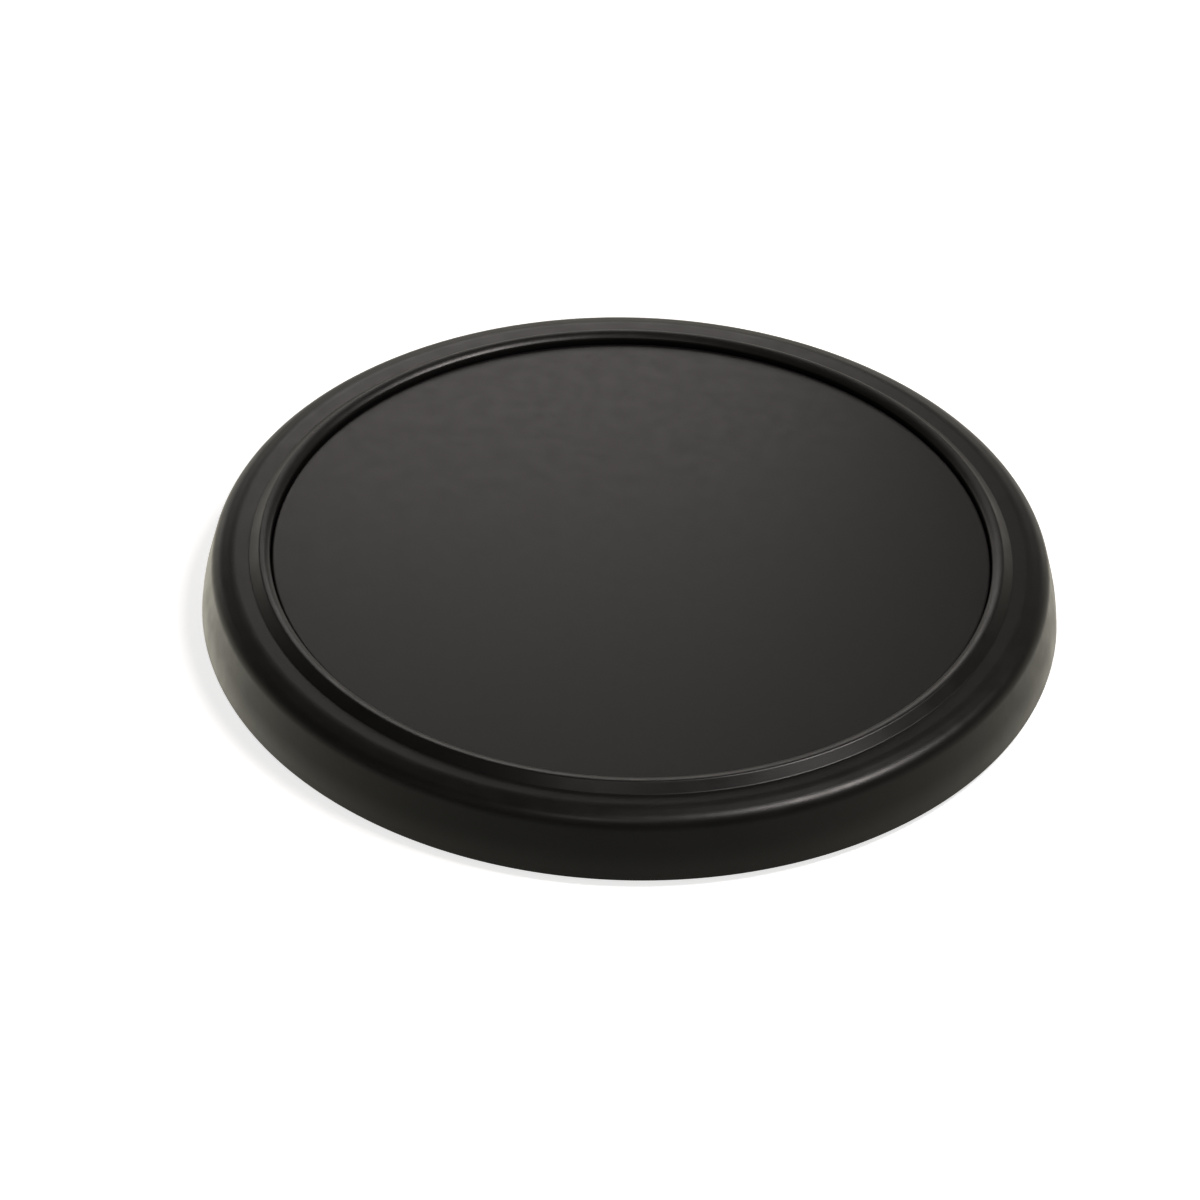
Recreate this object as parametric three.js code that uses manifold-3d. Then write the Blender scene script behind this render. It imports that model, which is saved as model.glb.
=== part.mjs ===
// A round drum practice pad: a gum rubber playing disc set into a moulded shell, closed from below by a
// cover that carries a threaded bush for a stand, and a grip ring to rest on.
// Millimetres. The origin is on the floor under the pad's centre, and +Z is up, through the playing disc.
import * as THREE from "three";
import { mergeVertices } from "three/addons/utils/BufferGeometryUtils.js";
import Module from "manifold-3d";

const wasm = await Module();
wasm.setup();

// ---- Driving dimensions ----

const GAP = 0.3; // clearance between pieces that seat on or in each other

// Shell
const PLAY_R = 74.7; // wall of the recess that the playing disc lies in
const RIM_W = 14.3; // from there out to the shell's lower edge
const SHELL_H = 15.5; // lower edge up to the bead's crest
const FLOOR_GAP = 1.5; // floor up to the shell's lower edge
const WALL = 2.4; // skirt and ledge
const SIDE_LEAN = 1.7; // how far the side leans in between its foot and the shoulder
const SIDE_TILT = THREE.MathUtils.degToRad(14); // lean of the side where it meets the shoulder
const SHOULDER_R = 5;
const BEAD_CREST = 2.05; // recess wall out to the bead's crest
const BEAD_DOME_R = 2.8; // the bead's rounding from its crest in to the recess wall
const BEAD_TURN_R = 1.4; // and from its crest outwards
const BEAD_FOOT_R = 1.7; // hollow rounding from there down to the ledge
const LEDGE_DROP = 1.7; // crest down to the ledge
const DISC_DROP = 1.9; // crest down to the playing face
const EDGE_BREAK = 0.25; // small chamfer on the shell's lower edge
const TRAY_T = 2; // floor of the recess that the disc lies in
const TRAY_WALL = 2;

// Playing disc and its adhesive
const DISC_T = 3.5;
const DISC_EDGE_R = 0.4; // rounding of the disc's top edge
const DISC_FILM_T = 0.4;
const FILM_INSET = 2; // a film stops this far inside what it holds

// Base cover
const COVER_T = 2;
const COVER_INSET = 0.7; // its underside, above the shell's lower edge
const CUP_FLOOR_T = 1.4; // cover material above each screw's head
const CUP_WALL = 1;
const BOARD_CLEAR = 0.5; // round the core board

// Cover screws
const COVER_SCREWS = 6;
const SCREW_R = 1.45; // over the thread
const SCREW_HEAD_R = 2.8;
const SCREW_HEAD_H = 1.9;
const HEAD_FLAT = 0.55; // share of the head's radius that is flat
const HEAD_ROUND = 0.6; // share of the head's height that is rounded
const HEAD_CLEAR = 0.6; // round the head, and under it
const BOSS_WALL = 1.85;
const TIP_CLEAR = 0.5; // pilot hole beyond the screw's tip
const BOSS_ROOF = 1.5; // ledge's underside down to the screw's tip

// Stand bush, an 8 mm thread in a round flange
const THREAD_BORE_R = 3.4; // tapping size of the thread
const THREAD_MOUTH_R = 4.2;
const BARREL_R = 6.5;
const FLANGE_R = 17;
const FLANGE_T = 1.6;
const FLANGE_CLEAR = 1; // floor up to the flange
const BUSH_SCREWS = 3;
const BUSH_SCREW_CIRCLE_R = 12;
const BUSH_SCREW_HEAD_R = 2.7;
const BUSH_SCREW_HEAD_H = 1.2;
const BUSH_SCREW_R = 1.3;
const BOARD_ROOF = 1; // board material above a bush screw's tip

// Grip ring
const RING_W = 16;
const GROOVE_DEPTH = 0.8; // of the cover's groove that locates the ring
const RING_FILM_T = 0.3;
const RING_EDGE = 0.4; // chamfer on the ring's lower edges
const RING_TO_SCREWS = 2; // cover left between the groove and the screws' pockets

// Cross recess in each screw's head
const CROSS_ARM = 1.5;
const CROSS_W = 0.6;
const CROSS_DEPTH = 0.9;

// Facets
const ROUND = 48; // round the pad
const ROUND_SMALL = 16; // round screws, bosses and holes
const CURVE_STEPS = 3;
const CUT = 1; // how far a cutter runs past the face that it cuts

// ---- Heights and radii that follow ----

const crest = FLOOR_GAP + SHELL_H;
const ledgeTop = crest - LEDGE_DROP;
const ledgeUnder = ledgeTop - WALL;
const shoulderZ = ledgeTop - SHOULDER_R;
const discTop = crest - DISC_DROP;
const discUnder = discTop - DISC_T;
const discFilmTop = discUnder - GAP;
const trayTop = discFilmTop - DISC_FILM_T - GAP;
const trayUnder = trayTop - TRAY_T;

const baseR = PLAY_R + RIM_W;
const shoulderCentreR = baseR - SIDE_LEAN - SHOULDER_R;
const trayWallR = PLAY_R + TRAY_WALL;
const discR = PLAY_R - GAP;

// The bead's outer side is an S: a rounded turn that meets a hollow foot where both are steepest.
const crestR = PLAY_R + BEAD_CREST;
const beadSteepest = Math.asin(1 - LEDGE_DROP / (BEAD_TURN_R + BEAD_FOOT_R));
const beadFootR = crestR + (BEAD_TURN_R + BEAD_FOOT_R) * Math.cos(beadSteepest);
const domeEnd = Math.PI - Math.acos(BEAD_CREST / BEAD_DOME_R);

const coverUnder = FLOOR_GAP + COVER_INSET;
const coverTop = coverUnder + COVER_T;
const coverR = skirtInnerR(coverTop) - GAP;
const pocketR = SCREW_HEAD_R + HEAD_CLEAR;
const screwSeat = coverUnder + SCREW_HEAD_H + HEAD_CLEAR;
const cupTop = screwSeat + CUP_FLOOR_T;
const cupR = pocketR + CUP_WALL;
const screwCircleR = skirtInnerR(cupTop) - GAP - cupR;
const bossR = SCREW_R + GAP + BOSS_WALL;
const bossUnder = cupTop + GAP;
const screwTip = ledgeUnder - BOSS_ROOF;

const boardUnder = coverTop + GAP;
const boardTop = trayUnder - GAP;
const boardR = screwCircleR - cupR - BOARD_CLEAR;

const flangeTop = FLANGE_CLEAR + FLANGE_T;
const barrelHoleR = BARREL_R + GAP;
const flangeSeat = flangeTop + GAP;
const bushScrewTip = boardTop - BOARD_ROOF;

const grooveTop = coverUnder + GROOVE_DEPTH;
const ringFilmTop = grooveTop - GAP;
const ringTop = ringFilmTop - RING_FILM_T - GAP;
const ringOuterR = screwCircleR - pocketR - RING_TO_SCREWS - GAP;
const ringInnerR = ringOuterR - RING_W;

// The inner face of the shell's skirt at height z: a drafted wall up to the shoulder.
function skirtInnerR(z) {
  const rise = (z - FLOOR_GAP) / (shoulderZ - FLOOR_GAP);
  return baseR - WALL - SIDE_LEAN * rise;
}

// ---- Solids ----

// A closed geometry as a manifold-3d solid.
function solidOf(geometry) {
  const bare = geometry.clone();
  bare.deleteAttribute("normal");
  bare.deleteAttribute("uv");
  const merged = mergeVertices(bare, 1e-4);
  const corners = merged.index.array;
  const kept = [];
  for (let i = 0; i < corners.length; i += 3) {
    const [a, b, c] = corners.slice(i, i + 3);
    if (a !== b && b !== c && c !== a) kept.push(a, b, c);
  }
  const vertProperties = merged.attributes.position.array;
  return new wasm.Manifold(new wasm.Mesh({ numProp: 3, vertProperties, triVerts: Uint32Array.from(kept) }));
}

function geometryOf(solid) {
  const { vertProperties, triVerts } = solid.getMesh();
  const geometry = new THREE.BufferGeometry();
  geometry.setAttribute("position", new THREE.BufferAttribute(vertProperties, 3));
  geometry.setIndex(new THREE.BufferAttribute(triVerts, 1));
  geometry.computeVertexNormals();
  return geometry;
}

// A profile of (radius, height) turned about +Z.
function turned(path, segments = ROUND) {
  return new THREE.LatheGeometry(path.getPoints(CURVE_STEPS), segments).rotateX(Math.PI / 2);
}

// A profile made of straight lines between [radius, height] points, closed on itself or ending on the axis.
function outline(...points) {
  const path = new THREE.Path();
  path.moveTo(...points[0]);
  points.slice(1).forEach((point) => path.lineTo(...point));
  return path;
}

// A flat ring, or a disc when it has no inner radius, between two heights.
function ring(innerR, outerR, bottom, top, segments = ROUND) {
  if (innerR === 0) return turned(outline([0, bottom], [outerR, bottom], [outerR, top], [0, top]), segments);
  return turned(
    outline([innerR, bottom], [outerR, bottom], [outerR, top], [innerR, top], [innerR, bottom]),
    segments,
  );
}

// A round post or cutter standing at (x, y).
function postAt([x, y], radius, bottom, top) {
  return solidOf(ring(0, radius, bottom, top, ROUND_SMALL).translate(x, y, 0));
}

// Points spread evenly round a circle, the first at the given angle.
function aroundCircle(count, radius, firstAngle) {
  return Array.from({ length: count }, (_, i) => {
    const angle = firstAngle + (i * 2 * Math.PI) / count;
    return [radius * Math.cos(angle), radius * Math.sin(angle)];
  });
}

const coverScrewPlaces = aroundCircle(COVER_SCREWS, screwCircleR, Math.PI / COVER_SCREWS);
const bushScrewPlaces = aroundCircle(BUSH_SCREWS, BUSH_SCREW_CIRCLE_R, Math.PI / BUSH_SCREWS);

// ---- Pieces ----

// One moulding: skirt, shoulder, ledge, bead and the tray for the disc, with screw bosses under the ledge.
function topShell() {
  const shoulderEnd = [
    shoulderCentreR + SHOULDER_R * Math.cos(SIDE_TILT),
    shoulderZ + SHOULDER_R * Math.sin(SIDE_TILT),
  ];
  // The side's control point lies on the shoulder's tangent, half way down.
  const controlZ = (FLOOR_GAP + shoulderZ) / 2;
  const controlR = Math.min(shoulderEnd[0] + (shoulderEnd[1] - controlZ) * Math.tan(SIDE_TILT), baseR);

  const section = new THREE.Path();
  section.moveTo(0, trayUnder);
  section.lineTo(trayWallR, trayUnder);
  section.lineTo(trayWallR, ledgeUnder);
  section.lineTo(shoulderCentreR, ledgeUnder);
  section.absarc(shoulderCentreR, shoulderZ, SHOULDER_R - WALL, Math.PI / 2, 0, true);
  section.lineTo(baseR - WALL, FLOOR_GAP);
  section.lineTo(baseR - EDGE_BREAK, FLOOR_GAP);
  section.lineTo(baseR, FLOOR_GAP + EDGE_BREAK);
  section.quadraticCurveTo(controlR, controlZ, ...shoulderEnd);
  section.absarc(shoulderCentreR, shoulderZ, SHOULDER_R, SIDE_TILT, Math.PI / 2, false);
  section.absarc(beadFootR, ledgeTop + BEAD_FOOT_R, BEAD_FOOT_R, -Math.PI / 2, Math.PI + beadSteepest, true);
  section.absarc(crestR, crest - BEAD_TURN_R, BEAD_TURN_R, beadSteepest, Math.PI / 2, false);
  section.absarc(crestR, crest - BEAD_DOME_R, BEAD_DOME_R, Math.PI / 2, domeEnd, false);
  section.lineTo(PLAY_R, trayTop);
  section.lineTo(0, trayTop);

  let shell = solidOf(turned(section));
  const cupsReachTray = trayUnder < bossUnder; // in a shallow shell
  for (const spot of coverScrewPlaces) {
    if (cupsReachTray) shell = shell.subtract(postAt(spot, cupR + GAP, trayUnder - CUT, bossUnder));
    shell = shell.add(postAt(spot, bossR, bossUnder, ledgeUnder + WALL / 2));
    shell = shell.subtract(postAt(spot, SCREW_R + GAP, bossUnder - CUT, screwTip + TIP_CLEAR));
  }
  return geometryOf(shell);
}

// The gum rubber disc, with a rounded top edge.
function playingSurface() {
  const profile = outline([0, discUnder], [discR, discUnder], [discR, discTop - DISC_EDGE_R]);
  profile.quadraticCurveTo(discR, discTop, discR - DISC_EDGE_R, discTop);
  profile.lineTo(0, discTop);
  return turned(profile);
}

// A flat cover with a cup round each screw, a groove for the grip ring and a seat for the bush.
function baseCover() {
  let cover = solidOf(ring(barrelHoleR, coverR, coverUnder, coverTop));
  cover = cover.subtract(solidOf(ring(0, FLANGE_R + GAP, coverUnder - CUT, flangeSeat)));
  cover = cover.subtract(
    solidOf(ring(ringInnerR - GAP, ringOuterR + GAP, coverUnder - CUT, grooveTop)),
  );
  for (const spot of coverScrewPlaces) {
    cover = cover.add(postAt(spot, cupR, coverUnder, cupTop));
    cover = cover.subtract(postAt(spot, pocketR, coverUnder - CUT, screwSeat));
    cover = cover.subtract(postAt(spot, SCREW_R + GAP, screwSeat - CUT, cupTop + CUT));
  }
  for (const spot of bushScrewPlaces) {
    cover = cover.subtract(postAt(spot, BUSH_SCREW_R + GAP, coverUnder - CUT, coverTop + CUT));
  }
  return geometryOf(cover);
}

// The fibreboard disc that stiffens the pad, with holes for the bush's barrel and screws.
function coreBoard() {
  let board = solidOf(ring(barrelHoleR, boardR, boardUnder, boardTop));
  for (const spot of bushScrewPlaces) {
    board = board.subtract(postAt(spot, BUSH_SCREW_R + GAP, boardUnder - CUT, bushScrewTip + GAP));
  }
  return geometryOf(board);
}

// A turned flange and barrel, bored through for the thread, with countersunk holes in the flange.
function standBush() {
  const profile = outline(
    [THREAD_MOUTH_R, FLANGE_CLEAR],
    [FLANGE_R - EDGE_BREAK, FLANGE_CLEAR],
    [FLANGE_R, FLANGE_CLEAR + EDGE_BREAK],
    [FLANGE_R, flangeTop],
    [BARREL_R, flangeTop],
    [BARREL_R, boardTop],
    [THREAD_BORE_R, boardTop],
    [THREAD_BORE_R, FLANGE_CLEAR + THREAD_MOUTH_R - THREAD_BORE_R],
    [THREAD_MOUTH_R, FLANGE_CLEAR],
  );
  let bush = solidOf(turned(profile));
  for (const spot of bushScrewPlaces) {
    bush = bush.subtract(countersinkAt(spot));
  }
  return geometryOf(bush);
}

// The hole and countersink that one bush screw needs in the flange.
function countersinkAt([x, y]) {
  const holeR = BUSH_SCREW_R + GAP;
  const mouthR = BUSH_SCREW_HEAD_R + GAP;
  const profile = outline(
    [0, FLANGE_CLEAR - CUT],
    [mouthR, FLANGE_CLEAR - CUT],
    [mouthR, FLANGE_CLEAR],
    [holeR, FLANGE_CLEAR + BUSH_SCREW_HEAD_H],
    [holeR, flangeTop + CUT],
    [0, flangeTop + CUT],
  );
  return solidOf(turned(profile, ROUND_SMALL).translate(x, y, 0));
}

// The grip ring, with its lower edges chamfered.
function gripRing() {
  return turned(
    outline(
      [ringInnerR + RING_EDGE, 0],
      [ringOuterR - RING_EDGE, 0],
      [ringOuterR, RING_EDGE],
      [ringOuterR, ringTop],
      [ringInnerR, ringTop],
      [ringInnerR, RING_EDGE],
      [ringInnerR + RING_EDGE, 0],
    ),
  );
}

// A cross-shaped cutter for the underside of a screw's head, whose face is at z = 0.
function crossRecess() {
  const arm = CROSS_ARM;
  const half = CROSS_W / 2;
  const corners = [];
  for (let quarter = 0; quarter < 4; quarter += 1) {
    const turn = (quarter * Math.PI) / 2;
    for (const corner of [[arm, -half], [arm, half], [half, half]]) {
      corners.push(new THREE.Vector2(...corner).rotateAround(new THREE.Vector2(), turn));
    }
  }
  const shape = new THREE.Shape(corners);
  const prism = new THREE.ExtrudeGeometry(shape, { depth: CUT + CROSS_DEPTH, bevelEnabled: false });
  return solidOf(prism.translate(0, 0, -CUT));
}

// A pan head screw pointing up, with its head's face at z = 0 and its shank ending at the given height.
function panHeadScrew(length) {
  const profile = new THREE.Path();
  profile.moveTo(0, 0);
  profile.lineTo(SCREW_HEAD_R * HEAD_FLAT, 0);
  profile.quadraticCurveTo(SCREW_HEAD_R, 0, SCREW_HEAD_R, SCREW_HEAD_H * HEAD_ROUND);
  profile.lineTo(SCREW_HEAD_R, SCREW_HEAD_H);
  profile.lineTo(SCREW_R, SCREW_HEAD_H);
  profile.lineTo(SCREW_R, length - SCREW_R);
  profile.lineTo(0, length);
  return geometryOf(solidOf(turned(profile, ROUND_SMALL)).subtract(crossRecess()));
}

// A countersunk screw pointing up, flush with the flange at z = 0.
function countersunkScrew(length) {
  const profile = outline(
    [0, 0],
    [BUSH_SCREW_HEAD_R, 0],
    [BUSH_SCREW_R, BUSH_SCREW_HEAD_H],
    [BUSH_SCREW_R, length - BUSH_SCREW_R],
    [0, length],
  );
  return geometryOf(solidOf(turned(profile, ROUND_SMALL)).subtract(crossRecess()));
}

// ---- Assembly ----

const shellPlastic = new THREE.MeshStandardMaterial({ color: "#121211", roughness: 0.38, metalness: 0 });
const coverPlastic = new THREE.MeshStandardMaterial({ color: "#141413", roughness: 0.55, metalness: 0 });
const gumRubber = new THREE.MeshStandardMaterial({ color: "#1f1e1e", roughness: 0.62, metalness: 0 });
const footRubber = new THREE.MeshStandardMaterial({ color: "#191919", roughness: 0.85, metalness: 0 });
const adhesive = new THREE.MeshStandardMaterial({ color: "#d8d4c6", roughness: 0.4, metalness: 0 });
const fibreboard = new THREE.MeshStandardMaterial({ color: "#8a6a47", roughness: 0.8, metalness: 0 });
const zincPlated = new THREE.MeshStandardMaterial({ color: "#b9bbbd", roughness: 0.3, metalness: 1 });
const blackSteel = new THREE.MeshStandardMaterial({ color: "#2a2a2b", roughness: 0.45, metalness: 1 });

const pad = new THREE.Group();

function place(name, geometry, material, position = [0, 0, 0]) {
  const mesh = new THREE.Mesh(geometry, material);
  mesh.name = name;
  mesh.position.set(...position);
  pad.add(mesh);
}

place("top_shell", topShell(), shellPlastic);
place("playing_surface", playingSurface(), gumRubber);
place("surface_adhesive", ring(0, discR - FILM_INSET, discFilmTop - DISC_FILM_T, discFilmTop), adhesive);
place("core_board", coreBoard(), fibreboard);
place("base_cover", baseCover(), coverPlastic);
place("stand_bush", standBush(), zincPlated);
place("grip_ring", gripRing(), footRubber);
place(
  "grip_ring_adhesive",
  ring(ringInnerR + FILM_INSET, ringOuterR - FILM_INSET, ringFilmTop - RING_FILM_T, ringFilmTop),
  adhesive,
);

// The heads stand in their pockets with a gap to the seat.
const coverScrewFace = screwSeat - GAP - SCREW_HEAD_H;
coverScrewPlaces.forEach(([x, y], i) => {
  const screw = panHeadScrew(screwTip - coverScrewFace);
  place(`cover_screw_${i + 1}`, screw, blackSteel, [x, y, coverScrewFace]);
});
bushScrewPlaces.forEach(([x, y], i) => {
  const screw = countersunkScrew(bushScrewTip - FLANGE_CLEAR);
  place(`bush_screw_${i + 1}`, screw, zincPlated, [x, y, FLANGE_CLEAR]);
});

export default pad;
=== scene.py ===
# A round drum practice pad: rubber playing disc in a satin black moulded shell, seen from the front
# and above on a pale floor. Metres throughout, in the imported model's frame.
import math

import bmesh
import bpy
from mathutils import Matrix, Vector

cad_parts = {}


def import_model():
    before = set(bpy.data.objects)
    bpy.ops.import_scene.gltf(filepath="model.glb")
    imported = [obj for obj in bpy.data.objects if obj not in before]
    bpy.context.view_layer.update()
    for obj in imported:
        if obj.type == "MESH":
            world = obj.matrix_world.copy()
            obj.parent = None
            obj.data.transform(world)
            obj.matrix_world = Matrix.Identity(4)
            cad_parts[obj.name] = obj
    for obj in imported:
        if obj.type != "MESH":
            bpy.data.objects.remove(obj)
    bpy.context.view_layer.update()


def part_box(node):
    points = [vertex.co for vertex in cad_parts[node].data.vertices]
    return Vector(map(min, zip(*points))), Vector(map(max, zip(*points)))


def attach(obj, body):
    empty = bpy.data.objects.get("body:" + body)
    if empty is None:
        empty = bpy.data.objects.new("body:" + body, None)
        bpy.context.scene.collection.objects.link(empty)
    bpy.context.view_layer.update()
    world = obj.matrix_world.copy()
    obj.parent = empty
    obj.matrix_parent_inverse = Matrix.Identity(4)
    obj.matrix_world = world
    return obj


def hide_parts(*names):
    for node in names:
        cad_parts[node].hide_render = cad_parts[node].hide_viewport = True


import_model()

MM = 0.001
BODY = "root"
COVER_SCREWS = [f"cover_screw_{k}" for k in range(1, 7)]
BUSH_SCREWS = [f"bush_screw_{k}" for k in range(1, 4)]

# ---- The frame's sizes ----

SHELL_LOW, SHELL_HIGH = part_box("top_shell")
DISC_LOW, DISC_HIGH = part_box("playing_surface")
DISC_FILM_LOW, DISC_FILM_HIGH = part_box("surface_adhesive")
BOARD_LOW, BOARD_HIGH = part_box("core_board")
COVER_LOW, COVER_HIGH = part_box("base_cover")
BUSH_LOW, BUSH_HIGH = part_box("stand_bush")
RING_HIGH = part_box("grip_ring")[1]
RING_FILM_LOW, RING_FILM_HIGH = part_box("grip_ring_adhesive")
COVER_SCREW_LOW, COVER_SCREW_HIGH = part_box(COVER_SCREWS[0])
BUSH_SCREW_LOW, BUSH_SCREW_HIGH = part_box(BUSH_SCREWS[0])

GAP = 0.3 * MM  # between pieces that touch in the real pad
PAST = 1 * MM  # how far a cutter reaches past what it cuts
CREST = SHELL_HIGH.z
BASE_R = SHELL_HIGH.x
FOOT_Z = SHELL_LOW.z
DISC_R = DISC_HIGH.x

# The shell's section
WALL = 2.4 * MM
SHOULDER_R = 5 * MM
SIDE_LEAN = 1.7 * MM
SIDE_TILT = math.radians(14)
EASE_TILT = math.radians(16)  # how far the ledge's edge turns down before the shoulder's own round
EASE_R = 7 * MM
EASE_SET = 0.3 * MM  # how far outside the shoulder's centre the ledge starts to turn down
SHOULDER_SHARE = 0.94  # the share of SHOULDER_R that is left for the shoulder's own round
SIDE_BOW_R = 60 * MM  # the wide round half way down the side
LEDGE_DROP = 1.7 * MM
LEDGE_Z = CREST - LEDGE_DROP
LEDGE_UNDER = LEDGE_Z - WALL
RECESS_R = DISC_R + GAP
CREST_R = RECESS_R + 2.05 * MM
DOME_R = 2.8 * MM  # the bead's rounding from its crest in to the recess
LIP_R = 0.8 * MM  # where that meets the recess
SLOPE_TILT = math.radians(40)  # the bead's outer side, from level
TURN_R = 0.7 * MM  # rounding from the crest to that side
BEAD_FOOT_R = 0.5 * MM  # hollow rounding from there down to the ledge
TRAY_TOP = DISC_FILM_LOW.z - GAP
TRAY_WALL = 2 * MM  # its floor and its side
TRAY_UNDER = TRAY_TOP - TRAY_WALL
TRAY_WALL_R = RECESS_R + TRAY_WALL

# Cover and its screws
COVER_T = 2 * MM
COVER_TOP = COVER_LOW.z + COVER_T
CUP_TOP = COVER_HIGH.z
GROOVE_TOP = RING_FILM_HIGH.z + GAP
SCREW_R = 1.45 * MM
SCREW_HEAD_H = 1.9 * MM
SCREW_HEAD_R = (COVER_SCREW_HIGH.x - COVER_SCREW_LOW.x) / 2
SCREW_SEAT = COVER_SCREW_LOW.z + SCREW_HEAD_H + GAP
HEAD_ROOM = 0.6 * MM
CUP_WALL = 1 * MM
BOSS_WALL = 1.85 * MM
TIP_ROOM = 0.5 * MM
POCKET_R = SCREW_HEAD_R + HEAD_ROOM
CUP_R = POCKET_R + CUP_WALL
BOSS_R = SCREW_R + GAP + BOSS_WALL
PILOT_TOP = COVER_SCREW_HIGH.z + TIP_ROOM

# Grip ring and films
RING_W = 16 * MM
RING_IN_R = RING_HIGH.x - RING_W
FILM_INSET = 2 * MM

# Stand bush and its screws
FLANGE_R = BUSH_HIGH.x
FLANGE_T = 1.6 * MM
FLANGE_TOP = BUSH_LOW.z + FLANGE_T
BARREL_R = 6.5 * MM
BORE_R = 3.4 * MM  # inside the thread, whose grooves reach THREAD_DEPTH further out
MOUTH_R = 4.2 * MM
THREAD_PITCH = 1.25 * MM
THREAD_DEPTH = 0.6 * MM
BUSH_SCREW_R = 1.3 * MM
BUSH_SCREW_HEAD_R = (BUSH_SCREW_HIGH.x - BUSH_SCREW_LOW.x) / 2
BUSH_SCREW_HEAD_H = 1.2 * MM

ROUND = 256  # steps round the pad
ROUND_MID = 96  # round the bush
ROUND_SMALL = 48  # round a screw, a boss or a hole

# A screw thread's tooth. A slope above 1 leaves a flat at its crest and its root, and the shift puts
# the slope midway between them.
TOOTH_SLOPE = 1.3
TOOTH_SHIFT = 0.15

# Tolerances
ON_AXIS = 1e-7
SAME_POINT = 1e-9
ON_WALL = 0.01 * MM
FILLET_SHARE = 0.49  # of each side that a fillet joins, at most


# ---- Mesh tools ----

def arc(centre, radius, start, end, steps=8):
    """Points on an arc of a section, from angle start to angle end in degrees."""
    angles = [math.radians(start + (end - start) * step / steps) for step in range(steps + 1)]
    return [Vector((centre[0] + radius * math.cos(a), centre[1] + radius * math.sin(a))) for a in angles]


def upright(r, low, high, step):
    """Evenly spaced points of a section that runs straight up, or down, at radius r."""
    count = math.ceil(abs(high - low) / step)
    return [Vector((r, low + (high - low) * k / count)) for k in range(count + 1)]


def rounded(corners, steps=6, hold=0.12 * MM):
    """A section through (r, z, fillet) corners: each corner with a fillet becomes an arc, with a
    point held close beside each of its ends so that the flats stay flat when shaded."""
    points = []
    last = len(corners) - 1
    for i, (r, z, fillet) in enumerate(corners):
        corner = Vector((r, z))
        if not fillet or i in (0, last):
            points.append(corner)
            continue
        before = Vector(corners[i - 1][:2]) - corner
        after = Vector(corners[i + 1][:2]) - corner
        half_turn = before.angle(after) / 2
        reach = min(fillet / math.tan(half_turn), FILLET_SHARE * before.length, FILLET_SHARE * after.length)
        radius = reach * math.tan(half_turn)
        into, out = before.normalized(), after.normalized()
        centre = corner + (into + out).normalized() * (radius / math.sin(half_turn))
        first, final = corner + into * reach, corner + out * reach
        if before.length - reach > 2 * hold:
            points.append(first + into * hold)
        swing = math.pi - 2 * half_turn
        start = first - centre
        turn = 1 if start.cross(final - centre) > 0 else -1
        for step in range(steps + 1):
            angle = turn * swing * step / steps
            c, s = math.cos(angle), math.sin(angle)
            points.append(centre + Vector((start.x * c - start.y * s, start.x * s + start.y * c)))
        if after.length - reach > 2 * hold:
            points.append(final + out * hold)
    return points


def turn_into(bm, section, segments, centre=(0, 0)):
    """Turns a section of (r, z) points about a vertical axis through centre, into bm. The section
    starts and ends on the axis or closes on itself, or else the solid is left open at its ends."""
    rings = []
    for r, z in section:
        if r < ON_AXIS:
            rings.append([bm.verts.new((centre[0], centre[1], z))])
            continue
        rings.append([
            bm.verts.new((centre[0] + r * math.cos(a), centre[1] + r * math.sin(a), z))
            for a in (2 * math.pi * k / segments for k in range(segments))
        ])
    if (section[0] - section[-1]).length < SAME_POINT and len(rings[0]) > 1:
        bmesh.ops.delete(bm, geom=rings.pop(), context="VERTS")
        rings.append(rings[0])
    for low, high in zip(rings, rings[1:]):
        for k in range(segments):
            k2 = (k + 1) % segments
            corners = [low[k % len(low)], low[k2 % len(low)], high[k2 % len(high)], high[k % len(high)]]
            face = [v for j, v in enumerate(corners) if v not in corners[:j]]
            if len(face) > 2:
                bm.faces.new(face)


def cut_thread(bm, centre, radius, low, high, pitch, depth):
    """Moves the points that lie at radius from the axis, between two heights, onto a right-hand
    thread. Its grooves go outwards where depth is positive and inwards where it is negative, and it
    runs out at both ends."""
    for v in bm.verts:
        x, y = v.co.x - centre[0], v.co.y - centre[1]
        r = math.hypot(x, y)
        if abs(r - radius) > ON_WALL or not low < v.co.z < high:
            continue
        phase = (v.co.z / pitch - math.atan2(y, x) / (2 * math.pi)) % 1
        tooth = min(max(TOOTH_SLOPE * abs(2 * phase - 1) - TOOTH_SHIFT, 0), 1)
        runout = min((v.co.z - low) / pitch, (high - v.co.z) / pitch, 1)
        grown = (r + depth * tooth * runout) / r
        v.co.x, v.co.y = centre[0] + x * grown, centre[1] + y * grown


def piece_from(bm, name, sharp=38):
    """A smooth-shaded object made from bm, with edges sharper than the given angle kept sharp."""
    bmesh.ops.recalc_face_normals(bm, faces=bm.faces)
    mesh = bpy.data.meshes.new(name)
    bm.to_mesh(mesh)
    bm.free()
    mesh.shade_smooth()
    mesh.set_sharp_from_angle(angle=math.radians(sharp))
    piece = bpy.data.objects.new(name, mesh)
    bpy.context.scene.collection.objects.link(piece)
    return piece


def turned(name, section, segments=ROUND, centres=((0, 0),)):
    """One object holding a turned solid about each of the centres."""
    bm = bmesh.new()
    for centre in centres:
        turn_into(bm, section, segments, centre)
    return piece_from(bm, name)


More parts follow.
